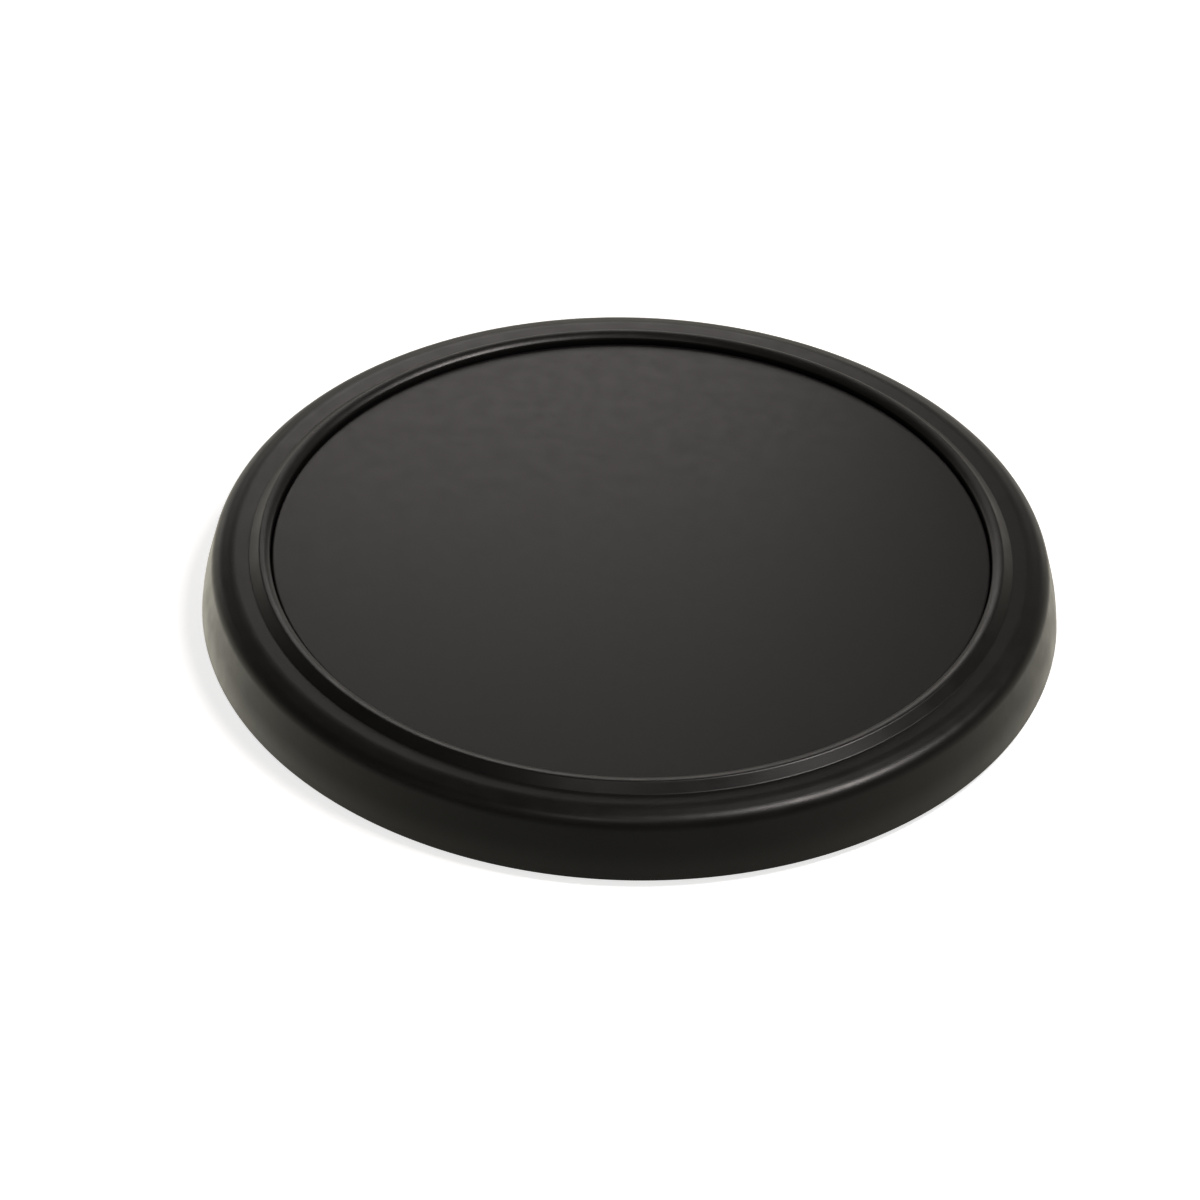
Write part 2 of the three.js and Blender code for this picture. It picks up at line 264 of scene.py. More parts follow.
def combine(piece, *steps):
    """Joins or cuts other objects, in order, and removes them. Each step is an operation's name and
    an object."""
    for operation, other in steps:
        modifier = piece.modifiers.new("combine", "BOOLEAN")
        modifier.operation = operation
        modifier.solver = "EXACT"
        modifier.object = other
    even = piece.modifiers.new("even", "WEIGHTED_NORMAL")
    even.keep_sharp = True
    graph = bpy.context.evaluated_depsgraph_get()
    mesh = bpy.data.meshes.new_from_object(piece.evaluated_get(graph))
    old = piece.data
    piece.modifiers.clear()
    piece.data = mesh
    bpy.data.meshes.remove(old)
    for _, other in steps:
        bpy.data.objects.remove(other)
    return piece


def node_centre(node):
    low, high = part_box(node)
    return ((low.x + high.x) / 2, (low.y + high.y) / 2)


COVER_SPOTS = [node_centre(node) for node in COVER_SCREWS]
BUSH_SPOTS = [node_centre(node) for node in BUSH_SCREWS]


# ---- Pieces ----

def top_shell():
    """One moulding: skirt, shoulder, ledge, bead and tray, with a boss for each cover screw."""
    shoulder_r = BASE_R - SIDE_LEAN - SHOULDER_R
    shoulder_z = LEDGE_Z - SHOULDER_R
    end_r = shoulder_r + SHOULDER_R * math.cos(SIDE_TILT)
    end_z = shoulder_z + SHOULDER_R * math.sin(SIDE_TILT)
    bend_z = (FOOT_Z + shoulder_z) / 2
    bend_r = min(end_r + (end_z - bend_z) * math.tan(SIDE_TILT), BASE_R)
    ease_r = shoulder_r + EASE_SET
    corner_r = end_r - (LEDGE_Z - end_z) * math.tan(SIDE_TILT)
    across = (corner_r - ease_r) / (1 - math.tan(EASE_TILT) * math.tan(SIDE_TILT))

    # The bead: a straight slope between two rounds outside, and inside a dome that ends in the lip.
    rounds = TURN_R + BEAD_FOOT_R
    slope_rise = LEDGE_DROP - rounds * (1 - math.cos(SLOPE_TILT))
    foot_r = CREST_R + rounds * math.sin(SLOPE_TILT) + slope_rise / math.tan(SLOPE_TILT)
    slope_normal = 90 - math.degrees(SLOPE_TILT)
    lip_r = RECESS_R + LIP_R
    lip_rise = math.sqrt((DOME_R - LIP_R) ** 2 - (CREST_R - lip_r) ** 2)
    lip_angle = math.degrees(math.atan2(lip_rise, lip_r - CREST_R))
    lip_z = CREST - DOME_R + lip_rise
    beside = 0.1 * MM  # the next point this close to an arc keeps a flat looking flat

    section = rounded([
        (0, TRAY_UNDER, 0),
        (TRAY_WALL_R, TRAY_UNDER, 0.6 * MM),
        (TRAY_WALL_R, LEDGE_UNDER, 0.8 * MM),
        (BASE_R - WALL - SIDE_LEAN, LEDGE_UNDER, SHOULDER_R - WALL),
        (BASE_R - WALL, FOOT_Z, 0.3 * MM),
        (BASE_R, FOOT_Z, 0.22 * MM),
        (bend_r, bend_z, SIDE_BOW_R),
        (ease_r + across, LEDGE_Z - across * math.tan(EASE_TILT), SHOULDER_SHARE * SHOULDER_R),
        (ease_r, LEDGE_Z, EASE_R),
        (foot_r + beside, LEDGE_Z, 0),
    ], steps=12)
    section += arc((foot_r, LEDGE_Z + BEAD_FOOT_R), BEAD_FOOT_R, 270, 180 + slope_normal)
    section += arc((CREST_R, CREST - TURN_R), TURN_R, slope_normal, 90)
    section += arc((CREST_R, CREST - DOME_R), DOME_R, 90, lip_angle)[1:]
    section += arc((lip_r, lip_z), LIP_R, lip_angle, 180)[1:]
    section += rounded([
        (RECESS_R, lip_z - beside, 0),
        (RECESS_R, TRAY_TOP, 0.2 * MM),
        (0, TRAY_TOP, 0),
    ])
    shell = turned("shell_moulding", section)

    boss_under = CUP_TOP + GAP
    bosses = turned("bosses", rounded([
        (0, boss_under, 0),
        (BOSS_R, boss_under, 0.3 * MM),
        (BOSS_R, LEDGE_UNDER + WALL / 2, 0),
        (0, LEDGE_UNDER + WALL / 2, 0),
    ]), ROUND_SMALL, COVER_SPOTS)
    pilots = turned("pilots", rounded([
        (0, boss_under - PAST, 0),
        (SCREW_R + GAP, boss_under - PAST, 0),
        (SCREW_R + GAP, PILOT_TOP, 0.5 * MM),
        (0, PILOT_TOP, 0),
    ]), ROUND_SMALL, COVER_SPOTS)
    return combine(shell, ("UNION", bosses), ("DIFFERENCE", pilots))


def playing_surface():
    return turned("rubber_disc", rounded([
        (0, DISC_LOW.z, 0),
        (DISC_R, DISC_LOW.z, 0.2 * MM),
        (DISC_R, DISC_HIGH.z, 0.45 * MM),
        (0, DISC_HIGH.z, 0),
    ]))


def flat_disc(name, low, high, edge):
    """A round sheet that fills a node's box, with softened edges."""
    return turned(name, rounded([
        (0, low.z, 0),
        (high.x, low.z, edge),
        (high.x, high.z, edge),
        (0, high.z, 0),
    ]))


def flat_ring(name, low, high, inner_r, edge):
    return turned(name, rounded([
        ((inner_r + high.x) / 2, low.z, 0),
        (high.x, low.z, edge),
        (high.x, high.z, edge),
        (inner_r, high.z, edge),
        (inner_r, low.z, edge),
        ((inner_r + high.x) / 2, low.z, 0),
    ]))


def core_board():
    """A fibreboard ring with a hole for the bush's barrel and blind holes for its screws."""
    board = flat_ring("fibre_core", BOARD_LOW, BOARD_HIGH, BARREL_R + GAP, 0.25 * MM)
    drilled = turned("drilled", rounded([
        (0, BOARD_LOW.z - PAST, 0),
        (BUSH_SCREW_R + GAP, BOARD_LOW.z - PAST, 0),
        (BUSH_SCREW_R + GAP, BUSH_SCREW_HIGH.z + GAP, 0.5 * MM),
        (0, BUSH_SCREW_HIGH.z + GAP, 0),
    ]), ROUND_SMALL, BUSH_SPOTS)
    return combine(board, ("DIFFERENCE", drilled))


def base_cover():
    """A moulded cover with a groove for the grip ring, a seat for the bush and a cup for each screw.

    Known fault: the cuts leave open edges round the shank holes of cover screws 2 and 5."""
    under = COVER_LOW.z
    cover_r = COVER_HIGH.x
    ring_out = RING_HIGH.x + GAP
    ring_in = RING_IN_R - GAP
    flange_seat = FLANGE_TOP + GAP
    soft = 0.3 * MM
    tight = 0.15 * MM
    cup_low = under + 0.6 * MM
    mouth = 0.4 * MM  # height of a screw pocket's flared mouth
    flare = 1.4 * MM  # how much wider its cutter is where it starts, below the cover
    cover = turned("cover_moulding", rounded([
        ((ring_out + cover_r) / 2, COVER_TOP, 0),
        (cover_r, COVER_TOP, soft),
        (cover_r, under, 0.5 * MM),
        (ring_out, under, soft),
        (ring_out, GROOVE_TOP, tight),
        (ring_in, GROOVE_TOP, tight),
        (ring_in, under, soft),
        (FLANGE_R + GAP, under, soft),
        (FLANGE_R + GAP, flange_seat, tight),
        (BARREL_R + GAP, flange_seat, soft),
        (BARREL_R + GAP, COVER_TOP, soft),
        ((ring_out + cover_r) / 2, COVER_TOP, 0),
    ]))
    cups = turned("cups", rounded([
        (0, cup_low, 0),
        (CUP_R, cup_low, 0),
        (CUP_R, CUP_TOP, 0.4 * MM),
        (0, CUP_TOP, 0),
    ]), ROUND_SMALL, COVER_SPOTS)
    pockets = turned("pockets", [Vector(p) for p in (
        (0, under - PAST),
        (POCKET_R + flare, under - PAST),
        (POCKET_R, under + mouth),
        (POCKET_R, SCREW_SEAT),
        (SCREW_R + GAP, SCREW_SEAT),
        (SCREW_R + GAP, CUP_TOP + PAST),
        (0, CUP_TOP + PAST),
    )], ROUND_SMALL, COVER_SPOTS)
    hole_wall = upright(BUSH_SCREW_R + GAP, under - PAST, COVER_TOP + PAST, step=MM)
    holes = turned("holes", hole_wall, ROUND_SMALL, BUSH_SPOTS)
    close_ends(holes)
    return combine(cover, ("UNION", cups), ("DIFFERENCE", pockets), ("DIFFERENCE", holes))


def close_ends(piece):
    """Caps the open ends of plain upright tubes."""
    bm = bmesh.new()
    bm.from_mesh(piece.data)
    bmesh.ops.holes_fill(bm, edges=[e for e in bm.edges if e.is_boundary])
    bmesh.ops.recalc_face_normals(bm, faces=bm.faces)
    bm.to_mesh(piece.data)
    bm.free()


def stand_bush():
    """A turned flange and barrel with a real 8 mm thread, countersunk for three screws."""
    low = BUSH_LOW.z
    high = BUSH_HIGH.z
    mouth = MOUTH_R - BORE_R
    bore_low, bore_high = low + mouth, high - mouth
    outside = rounded([
        (MOUTH_R, low, 0),
        (FLANGE_R, low, 0.35 * MM),
        (FLANGE_R, FLANGE_TOP, 0.2 * MM),
        (BARREL_R, FLANGE_TOP, 0.3 * MM),
        (BARREL_R, high, 0.4 * MM),
        (MOUTH_R, high, 0),
    ])
    bore = upright(BORE_R, bore_high, bore_low, THREAD_PITCH / 10)
    bm = bmesh.new()
    turn_into(bm, outside + bore + [outside[0]], ROUND_MID)
    cut_thread(bm, (0, 0), BORE_R, bore_low - THREAD_PITCH / 2, bore_high + THREAD_PITCH / 2, THREAD_PITCH,
               THREAD_DEPTH)
    bush = piece_from(bm, "threaded_bush", sharp=30)
    countersinks = turned("countersinks", [Vector(p) for p in (
        (0, low - PAST),
        (BUSH_SCREW_HEAD_R + GAP, low - PAST),
        (BUSH_SCREW_HEAD_R + GAP, low),
        (BUSH_SCREW_R + GAP, low + BUSH_SCREW_HEAD_H),
        (BUSH_SCREW_R + GAP, FLANGE_TOP + PAST),
        (0, FLANGE_TOP + PAST),
    )], ROUND_SMALL, BUSH_SPOTS)
    return combine(bush, ("DIFFERENCE", countersinks))


def grip_ring():
    """The ring that the pad rests on, with shallow concentric grooves between its treads."""
    top, out, inside = RING_HIGH.z, RING_HIGH.x, RING_IN_R
    treads = 6
    groove = 0.9 * MM
    depth = 0.5 * MM
    slant = 0.2 * MM
    edge = 0.2 * MM
    top_edge = 0.3 * MM
    foot_edge = 0.4 * MM
    tread = (out - inside - groove * (treads - 1)) / treads
    corners = [((inside + out) / 2, top, 0), (inside, top, top_edge), (inside, 0, foot_edge)]
    for k in range(1, treads):
        start = inside + k * tread + (k - 1) * groove
        corners += [
            (start, 0, edge),
            (start + slant, depth, edge),
            (start + groove - slant, depth, edge),
            (start + groove, 0, edge),
        ]
    corners += [(out, 0, foot_edge), (out, top, top_edge), ((inside + out) / 2, top, 0)]
    return turned("rubber_ring", rounded(corners, steps=4, hold=0.08 * MM))


def cross_cutter(centre, face, turn):
    """A tapered cross that cuts a driver's recess into a head whose face is at height face."""
    # Each level is a height, the length of an arm and half its width.
    levels = [(face - 0.5 * MM, 1.6 * MM, 0.42 * MM), (face + 1 * MM, 0.9 * MM, 0.2 * MM)]
    bm = bmesh.new()
    loops = []
    for z, arm, half in levels:
        loop = []
        for quarter in range(4):
            angle = turn + quarter * math.pi / 2
            spin = Matrix.Rotation(angle, 3, "Z")
            for x, y in ((arm, -half), (arm, half), (half, half)):
                loop.append(bm.verts.new(spin @ Vector((x, y, 0)) + Vector((*centre, z))))
        loops.append(loop)
    for low, high in zip(loops, loops[1:]):
        for k in range(len(low)):
            k2 = (k + 1) % len(low)
            bm.faces.new((low[k], low[k2], high[k2], high[k]))
    bm.faces.new(loops[0])
    bm.faces.new(loops[-1])
    return piece_from(bm, "cross")


def screw(name, centre, head, shank_r, low, high, pitch, depth, turn):
    """A screw that points up: its head's section, a threaded shank and a pointed tip."""
    neck = head[-1].y
    tip = high - shank_r
    neck_h = 0.15 * MM
    blunt_r = 0.25 * MM
    blunt_h = 0.1 * MM
    plain = 0.4 * MM  # of the shank, between the head and the thread
    past_tip = 0.05 * MM
    bm = bmesh.new()
    shank = upright(shank_r, neck + neck_h, tip, pitch / 8)
    section = head + shank + [Vector((blunt_r, high - blunt_h)), Vector((0, high))]
    turn_into(bm, section, ROUND_SMALL, centre)
    cut_thread(bm, centre, shank_r, neck + plain, tip + past_tip, pitch, -depth)
    piece = piece_from(bm, name, sharp=35)
    return combine(piece, ("DIFFERENCE", cross_cutter(centre, low, turn)))


def cover_screw(k):
    """A pan head screw for plastic."""
    face, seat = COVER_SCREW_LOW.z, COVER_SCREW_LOW.z + SCREW_HEAD_H
    head = rounded([
        (0, face, 0),
        (SCREW_HEAD_R, face, 1.1 * MM),
        (SCREW_HEAD_R, seat, 0.12 * MM),
        (SCREW_R, seat, 0.1 * MM),
        (SCREW_R, seat + 0.15 * MM, 0),
    ])
    return screw(f"pan_screw_{k + 1}", COVER_SPOTS[k], head, SCREW_R, face, COVER_SCREW_HIGH.z,
                 pitch=1.1 * MM, depth=0.32 * MM, turn=math.radians(40 * k))


def bush_screw(k):
    """A countersunk screw for board, its head flush with the flange."""
    face = BUSH_SCREW_LOW.z
    head = rounded([
        (0, face, 0),
        (BUSH_SCREW_HEAD_R, face, 0.12 * MM),
        (BUSH_SCREW_R, face + BUSH_SCREW_HEAD_H, 0.2 * MM),
        (BUSH_SCREW_R, face + BUSH_SCREW_HEAD_H + 0.3 * MM, 0),
    ])
    return screw(f"countersunk_screw_{k + 1}", BUSH_SPOTS[k], head, BUSH_SCREW_R, face, BUSH_SCREW_HIGH.z,
                 pitch=1.0 * MM, depth=0.3 * MM, turn=math.radians(25 + 55 * k))


# ---- Materials ----

# A mix node's colour sockets
COLOUR_A = 6
COLOUR_B = 7
COLOUR_RESULT = 2


class Paint:
    """A node material: its principled shader, and short calls for the nodes that feed it."""

    def __init__(self, name):
        self.material = bpy.data.materials.new(name)
        self.material.use_nodes = True
        self.tree = self.material.node_tree
        self.shader = self.tree.nodes["Principled BSDF"]
        self.place = self.add("ShaderNodeTexCoord").outputs["Object"]

    def add(self, kind, **values):
        node = self.tree.nodes.new(kind)
        for key, value in values.items():
            setattr(node, key, value)
        return node

    def link(self, output, node, socket):
        self.tree.links.new(output, node.inputs[socket])

    def radius(self):
        """Distance from the pad's axis, in metres."""
        flat = self.add("ShaderNodeVectorMath", operation="MULTIPLY")
        self.link(self.place, flat, 0)
        flat.inputs[1].default_value = (1, 1, 0)
        length = self.add("ShaderNodeVectorMath", operation="LENGTH")
        self.link(flat.outputs["Vector"], length, 0)
        return length.outputs["Value"]

    def lathe_place(self):
        """A coordinate that is the same all the way round the axis, for marks left by turning."""
        split = self.add("ShaderNodeSeparateXYZ")
        self.link(self.place, split, "Vector")
        joined = self.add("ShaderNodeCombineXYZ")
        self.link(self.radius(), joined, "X")
        self.link(split.outputs["Z"], joined, "Z")
        return joined.outputs["Vector"]

    def noise(self, per_metre, detail=2, rough=0.5, place=None):
        """Noise from 0 to 1, with about this many cells to the metre."""
        node = self.add("ShaderNodeTexNoise")
        self.link(place or self.place, node, "Vector")
        node.inputs["Scale"].default_value = per_metre
        node.inputs["Detail"].default_value = detail
        node.inputs["Roughness"].default_value = rough
        return node.outputs["Fac"]

    def spread(self, factor, low, high, start=0.35, end=0.65):
        """Maps factor from start..end to low..high."""
        node = self.add("ShaderNodeMapRange")
        self.link(factor, node, "Value")
        for key, value in (("From Min", start), ("From Max", end), ("To Min", low), ("To Max", high)):
            node.inputs[key].default_value = value
        return node.outputs["Result"]

    def math(self, operation, first, second):
        node = self.add("ShaderNodeMath", operation=operation)
        for socket, value in enumerate((first, second)):
            if isinstance(value, (int, float)):
                node.inputs[socket].default_value = value
            else:
                self.link(value, node, socket)
        return node.outputs["Value"]

    def band(self, radius, half_width):
        """1 at a radius from the pad's axis, falling to 0 at half_width either side."""
        off = self.math("ABSOLUTE", self.math("SUBTRACT", self.radius(), radius), 0)
        return self.spread(off, 1, 0, 0, half_width)

    def colours(self, factor, *stops):
        """A colour by factor. Each stop is a position and its colour."""
        node = self.add("ShaderNodeValToRGB")
        self.link(factor, node, "Fac")
        ramp = node.color_ramp
        while len(ramp.elements) < len(stops):
            ramp.elements.new(0.5)
        for element, (position, colour) in zip(ramp.elements, stops):
            element.position = position
            element.color = (*colour, 1)
        return node.outputs["Color"]

    def mix(self, factor, first, second):
        """Blends two colours, the second of them plain."""
        node = self.add("ShaderNodeMix", data_type="RGBA")
        self.link(factor, node, "Factor")
        self.tree.links.new(first, node.inputs[COLOUR_A])
        node.inputs[COLOUR_B].default_value = (*second, 1)
        return node.outputs[COLOUR_RESULT]

    def bump(self, height, distance, below=None):
        node = self.add("ShaderNodeBump")
        node.inputs["Distance"].default_value = distance
        self.link(height, node, "Height")
        if below is not None:
            self.link(below, node, "Normal")
        return node.outputs["Normal"]

    def feed(self, output, socket):
        self.link(output, self.shader, socket)

    def set(self, socket, value):
        self.shader.inputs[socket].default_value = value


def shell_plastic():
    """Satin black ABS: a fine moulded grain, polished a little where hands and sticks touch the bead."""
    paint = Paint("satin_black_plastic")
    cloud = paint.noise(45, 3)
    worn = paint.math("MULTIPLY", paint.band(CREST_R, 1.6 * MM), paint.spread(paint.noise(160, 4), 0, 1))
    base = paint.colours(cloud, (0.3, (0.0060, 0.0058, 0.0055)), (0.7, (0.0078, 0.0075, 0.0070)))
    paint.feed(paint.mix(paint.math("MULTIPLY", worn, 0.5), base, (0.012, 0.0116, 0.011)), "Base Color")
    rough = paint.spread(paint.noise(220, 4), 0.335, 0.385)
    paint.feed(paint.math("SUBTRACT", rough, paint.math("MULTIPLY", worn, 0.05)), "Roughness")
    grain = paint.bump(paint.noise(2400, 2), 0.010 * MM)
    paint.feed(paint.bump(paint.noise(420, 2), 0.012 * MM, grain), "Normal")
    return paint.material


def gum_rubber():
    """Dark gum rubber with a fine even grain and a faint bloom."""
    paint = Paint("matte_gum_rubber")
    bloom = paint.noise(28, 3)
    base = paint.colours(bloom, (0.3, (0.0066, 0.0062, 0.0062)), (0.7, (0.0078, 0.0073, 0.0073)))
    paint.feed(base, "Base Color")
    paint.feed(paint.spread(paint.noise(260, 4), 0.345, 0.385), "Roughness")
    grain = paint.bump(paint.noise(3600, 3), 0.006 * MM)
    paint.feed(paint.bump(paint.noise(1100, 2), 0.002 * MM, grain), "Normal")
    return paint.material


def cover_plastic():
    """Black ABS with a coarser spark-eroded texture than the shell, scuffed in patches."""
    paint = Paint("textured_black_plastic")
    scuff = paint.spread(paint.noise(120, 6, 0.7), 0, 1, 0.55, 0.75)
    base = paint.colours(paint.noise(60, 3), (0.3, (0.012, 0.012, 0.0117)), (0.7, (0.017, 0.0168, 0.0163)))
    paint.feed(paint.mix(paint.math("MULTIPLY", scuff, 0.35), base, (0.035, 0.035, 0.034)), "Base Color")
    paint.feed(paint.spread(paint.noise(300, 4), 0.48, 0.58), "Roughness")
    texture = paint.bump(paint.noise(1500, 3, 0.6), 0.045 * MM)
    paint.feed(texture, "Normal")
    return paint.material


def grip_rubber():
    """Matte rubber that has picked up a little pale dust."""
    paint = Paint("grip_rubber")
    dust = paint.spread(paint.noise(140, 6, 0.65), 0, 1, 0.45, 0.75)
    base = paint.colours(paint.noise(70, 3), (0.3, (0.020, 0.020, 0.0205)), (0.7, (0.027, 0.027, 0.0275)))
    paint.feed(paint.mix(paint.math("MULTIPLY", dust, 0.4), base, (0.075, 0.073, 0.070)), "Base Color")
    paint.feed(paint.spread(dust, 0.72, 0.88, 0, 1), "Roughness")
    paint.feed(paint.bump(paint.noise(2200, 4, 0.6), 0.03 * MM), "Normal")
    return paint.material


def plated_metal(name, turned_marks):
    """Bright zinc plate, with rings left by turning where they are asked for."""
    paint = Paint(name)
    tint = paint.noise(90, 3)
    paint.feed(paint.colours(tint, (0.35, (0.56, 0.57, 0.60)), (0.65, (0.66, 0.66, 0.64))), "Base Color")
    paint.set("Metallic", 1)
    paint.feed(paint.spread(paint.noise(500, 5), 0.22, 0.36), "Roughness")
    place = paint.lathe_place() if turned_marks else None
    paint.feed(paint.bump(paint.noise(2600, 3, 0.6, place), 0.012 * MM), "Normal")
    return paint.material


def black_steel():
    """Black oxide, rubbed towards bare steel in small patches."""
    paint = Paint("black_oxide_steel")
    rubbed = paint.spread(paint.noise(700, 5, 0.7), 0, 1, 0.56, 0.70)
    base = paint.colours(paint.noise(300, 3), (0.3, (0.030, 0.030, 0.032)), (0.7, (0.045, 0.045, 0.048)))
    paint.feed(paint.mix(paint.math("MULTIPLY", rubbed, 0.35), base, (0.20, 0.20, 0.205)), "Base Color")
    paint.set("Metallic", 1)
    paint.feed(paint.spread(paint.noise(800, 4), 0.34, 0.46), "Roughness")
    paint.feed(paint.bump(paint.noise(3000, 3), 0.010 * MM), "Normal")
    return paint.material


def fibreboard():
    """Pressed wood fibre, darker along its sawn edge."""
    paint = Paint("pressed_fibreboard")
    fibres = paint.noise(900, 8, 0.75)
    base = paint.colours(fibres, (0.3, (0.26, 0.17, 0.095)), (0.55, (0.36, 0.25, 0.15)),
                         (0.75, (0.47, 0.34, 0.22)))
    edge = paint.spread(paint.radius(), 0, 0.6, BOARD_HIGH.x - 1.5 * MM, BOARD_HIGH.x)
    paint.feed(paint.mix(edge, base, (0.20, 0.125, 0.070)), "Base Color")
    paint.feed(paint.spread(fibres, 0.75, 0.92), "Roughness")
    paint.feed(paint.bump(fibres, 0.08 * MM), "Normal")
    return paint.material


def adhesive_film():
    """Cream double-sided film with faint trapped air."""
    paint = Paint("adhesive_film")
    air = paint.spread(paint.noise(350, 4, 0.6), 0, 1, 0.55, 0.72)
    base = paint.colours(paint.noise(50, 3), (0.3, (0.60, 0.56, 0.46)), (0.7, (0.68, 0.64, 0.55)))
    paint.feed(paint.mix(paint.math("MULTIPLY", air, 0.5), base, (0.80, 0.78, 0.72)), "Base Color")
    paint.feed(paint.spread(air, 0.30, 0.45, 0, 1), "Roughness")
    paint.feed(paint.bump(paint.noise(600, 3), 0.03 * MM), "Normal")
    return paint.material


# ---- The pad ----

def finish_piece(piece, material, node):
    piece.data.materials.clear()
    piece.data.materials.append(material)
    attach(piece, BODY)
    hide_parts(node)


film = adhesive_film()
turned_metal = plated_metal("turned_zinc", True)
screw_metal = plated_metal("zinc_screws", False)
oxide = black_steel()

finish_piece(top_shell(), shell_plastic(), "top_shell")
finish_piece(playing_surface(), gum_rubber(), "playing_surface")
finish_piece(flat_disc("disc_film", DISC_FILM_LOW, DISC_FILM_HIGH, 0.1 * MM), film,
             "surface_adhesive")
finish_piece(core_board(), fibreboard(), "core_board")
finish_piece(base_cover(), cover_plastic(), "base_cover")
finish_piece(stand_bush(), turned_metal, "stand_bush")
finish_piece(grip_ring(), grip_rubber(), "grip_ring")
finish_piece(flat_ring("ring_film", RING_FILM_LOW, RING_FILM_HIGH, RING_IN_R + FILM_INSET, 0.08 * MM), film,
             "grip_ring_adhesive")
for k, node in enumerate(COVER_SCREWS):
    finish_piece(cover_screw(k), oxide, node)
for k, node in enumerate(BUSH_SCREWS):
    finish_piece(bush_screw(k), screw_metal, node)


# ---- Camera, floor and light ----

ELEVATION = math.radians(37.25)  # of the camera above the bead's crest
DISTANCE = 1.216
LENS = 176.3  # on a 36 mm sensor
PAN = math.radians(0.290)  # the pad sits a little right of the middle
TILT = math.radians(-0.553)  # and the middle of its crest a little above it
ROLL = math.radians(1.75)

FLOOR_SIZE = 6.0
FLOOR_GLOW = 0.75

LAMP_TINT = (1, 0.94, 0.91)

# The room's brightness by direction, against white as 1
ROOM_TINT = (1, 0.96, 0.82)
ROOM = 2.1
WALL_LEFT = 0.34
WALL_FRONT = 0.12
WALL_RIGHT = 0.27
WALL_BACK = 0.7
# Stops round the room, by share of a turn from the left past the camera to the right and the back
WALL_STOPS = [
    (0, WALL_LEFT), (0.09, 0.2),
    (0.25, WALL_FRONT), (0.37, 0.16),
    (0.5, WALL_RIGHT), (0.6, 0.42), (0.68, 0.6), (0.73, 0.78),
    (0.8, WALL_BACK), (0.88, 0.75), (0.93, 0.55),
    (1, WALL_LEFT),
]
# Stops from straight down at 0, through level at 0.5, to straight up at 1
HEIGHT_STOPS = [(0.27, 1), (0.38, 0.5), (0.5, 0.5), (0.55, 0.27), (0.62, 0.1), (0.75, 0.04), (1, 0.01)]


def camera():
    data = bpy.data.cameras.new("camera")
    data.lens = LENS
    data.clip_start = 0.05
    data.clip_end = 50
    cam = bpy.data.objects.new("camera", data)
    back = Vector((0, -math.cos(ELEVATION), math.sin(ELEVATION)))
    position = Vector((0, 0, CREST)) + DISTANCE * back
    turn = Matrix.Rotation(math.pi / 2 - ELEVATION + TILT, 4, "X")
    turn = turn @ Matrix.Rotation(PAN, 4, "Y") @ Matrix.Rotation(ROLL, 4, "Z")
    cam.matrix_world = Matrix.Translation(position) @ turn
    bpy.context.scene.collection.objects.link(cam)
    bpy.context.scene.camera = cam


def floor():
    """A pale floor that glows a little, so that the pad's shadow on it stays faint. The pad doesn't
    reflect it."""
    bm = bmesh.new()
    bmesh.ops.create_grid(bm, x_segments=1, y_segments=1, size=FLOOR_SIZE / 2)
    piece = piece_from(bm, "floor")
    paint = Paint("pale_floor")
    paint.set("Base Color", (0.9, 0.9, 0.9, 1))
    paint.set("Roughness", 0.9)
    paint.set("Emission Color", (1, 1, 1, 1))
    paint.set("Emission Strength", FLOOR_GLOW)
    piece.data.materials.append(paint.material)
    piece.visible_glossy = False


def aim(azimuth, elevation):
    """A unit vector. Azimuth 0 points right in the camera's view, and 90 away from the camera."""
    a, e = math.radians(azimuth), math.radians(elevation)
    return Vector((math.cos(a) * math.cos(e), math.sin(a) * math.cos(e), math.sin(e)))


def soft_box(name, direction, distance, width, height, radiance):
    """A rectangular area light that faces the pad. Its width is level."""
    data = bpy.data.lights.new(name, "AREA")
    data.shape = "RECTANGLE"
    data.size = width
    data.size_y = height
    data.energy = radiance * math.pi * width * height
    data.color = LAMP_TINT
    lamp = bpy.data.objects.new(name, data)
    lamp.location = Vector((0, 0, CREST)) + direction * distance
    lamp.rotation_euler = direction.to_track_quat("Z", "Y").to_euler()
    lamp.visible_camera = False
    bpy.context.scene.collection.objects.link(lamp)


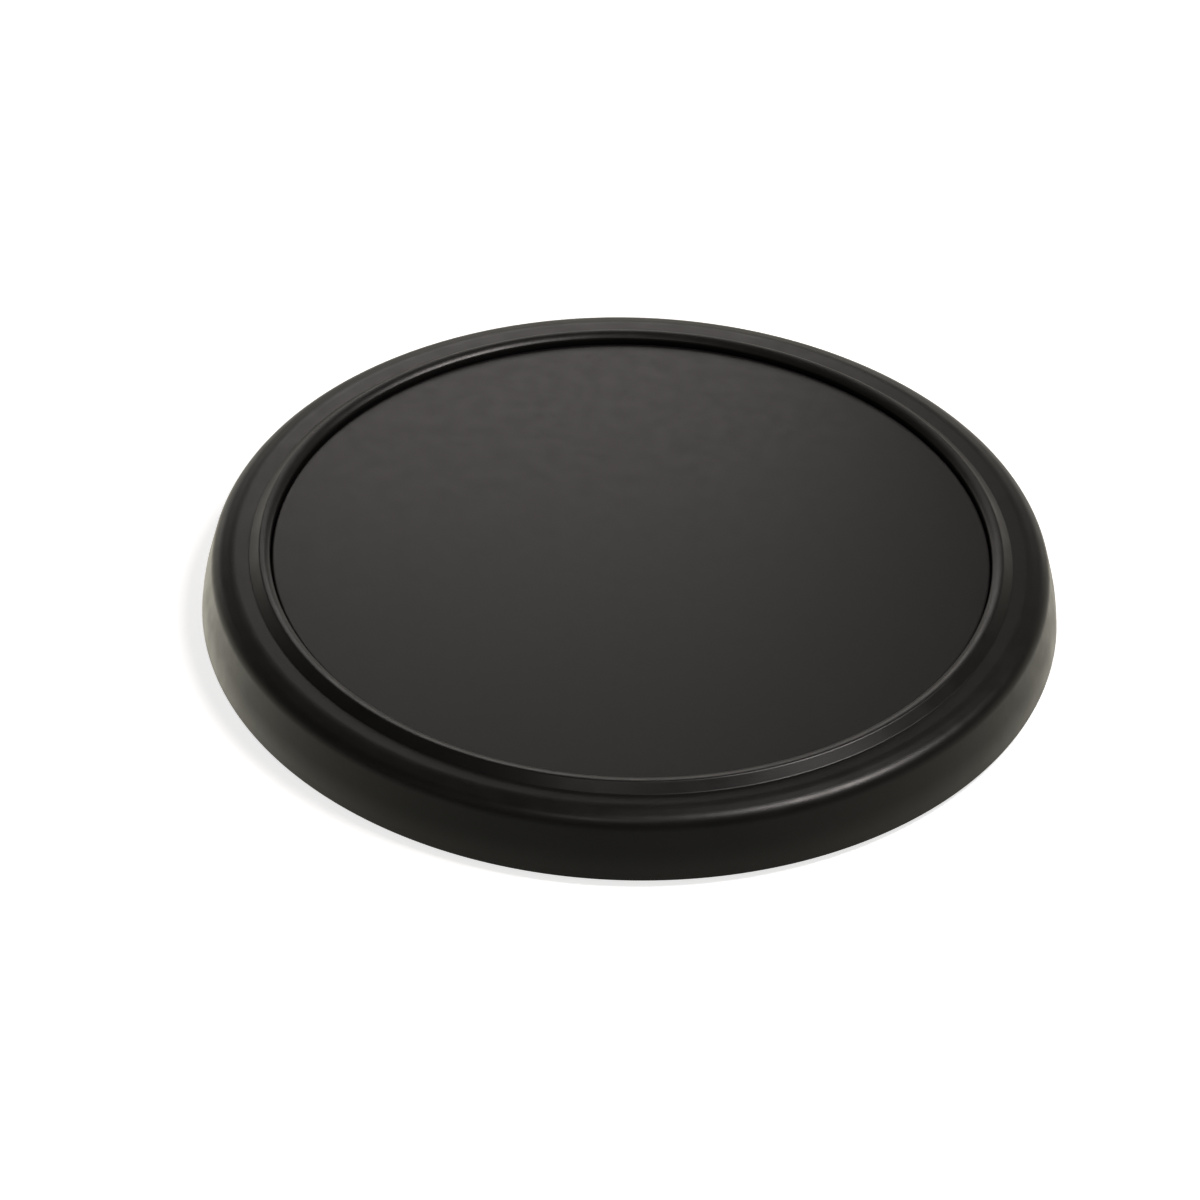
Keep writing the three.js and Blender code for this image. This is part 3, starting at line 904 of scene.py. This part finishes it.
def world():
    """A dim room, palest behind the pad and darker upwards. The camera itself sees plain white."""
    sky = bpy.data.worlds.new("studio")
    bpy.context.scene.world = sky
    sky.use_nodes = True
    tree = sky.node_tree
    background = tree.nodes["Background"]
    direction = tree.nodes.new("ShaderNodeTexCoord").outputs["Generated"]

    around_node = tree.nodes.new("ShaderNodeTexGradient")
    around_node.gradient_type = "RADIAL"
    tree.links.new(direction, around_node.inputs["Vector"])
    walls = tree.nodes.new("ShaderNodeValToRGB")
    tree.links.new(around_node.outputs["Fac"], walls.inputs["Fac"])
    set_stops(walls.color_ramp, WALL_STOPS, ROOM_TINT)

    split = tree.nodes.new("ShaderNodeSeparateXYZ")
    tree.links.new(direction, split.inputs["Vector"])
    height = tree.nodes.new("ShaderNodeMapRange")
    height.inputs["From Min"].default_value = -1
    tree.links.new(split.outputs["Z"], height.inputs["Value"])
    fade = tree.nodes.new("ShaderNodeValToRGB")
    tree.links.new(height.outputs["Result"], fade.inputs["Fac"])
    set_stops(fade.color_ramp, HEIGHT_STOPS)

    product = tree.nodes.new("ShaderNodeMix")
    product.data_type = "RGBA"
    product.blend_type = "MULTIPLY"
    product.inputs["Factor"].default_value = 1
    tree.links.new(walls.outputs["Color"], product.inputs["A"])
    tree.links.new(fade.outputs["Color"], product.inputs["B"])
    tree.links.new(product.outputs["Result"], background.inputs["Color"])
    background.inputs["Strength"].default_value = ROOM

    seen = tree.nodes.new("ShaderNodeBackground")
    backdrop = tree.nodes.new("ShaderNodeMixShader")
    tree.links.new(tree.nodes.new("ShaderNodeLightPath").outputs["Is Camera Ray"], backdrop.inputs["Fac"])
    tree.links.new(background.outputs["Background"], backdrop.inputs[1])
    tree.links.new(seen.outputs["Background"], backdrop.inputs[2])
    tree.links.new(backdrop.outputs["Shader"], tree.nodes["World Output"].inputs["Surface"])
    seen.inputs["Color"].default_value = (1, 1, 1, 1)


def set_stops(ramp, stops, tint=(1, 1, 1)):
    while len(ramp.elements) < len(stops):
        ramp.elements.new(0.5)
    for element, (position, value) in zip(ramp.elements, stops):
        element.position = position
        element.color = (*(value * part for part in tint), 1)


camera()
floor()
world()
soft_box("key", aim(-5, 62), distance=1.3, width=0.38, height=0.42, radiance=17)
soft_box("overhead", aim(-101, 62.5), distance=1.5, width=0.16, height=0.16, radiance=9)
soft_box("near_far_side", aim(96, 26.5), distance=0.475, width=0.22, height=0.14, radiance=2.1)
soft_box("far", aim(80, 38), distance=1.2, width=0.9, height=0.6, radiance=0.07)
soft_box("front", aim(-125, 42), distance=2, width=1.6, height=0.8, radiance=0.12)
soft_box("left", aim(125, 12), distance=1.2, width=0.6, height=0.4, radiance=0.85)
soft_box("right", aim(65, 6), distance=1.2, width=0.6, height=0.3, radiance=0.8)
bpy.context.scene.view_settings.view_transform = "Standard"
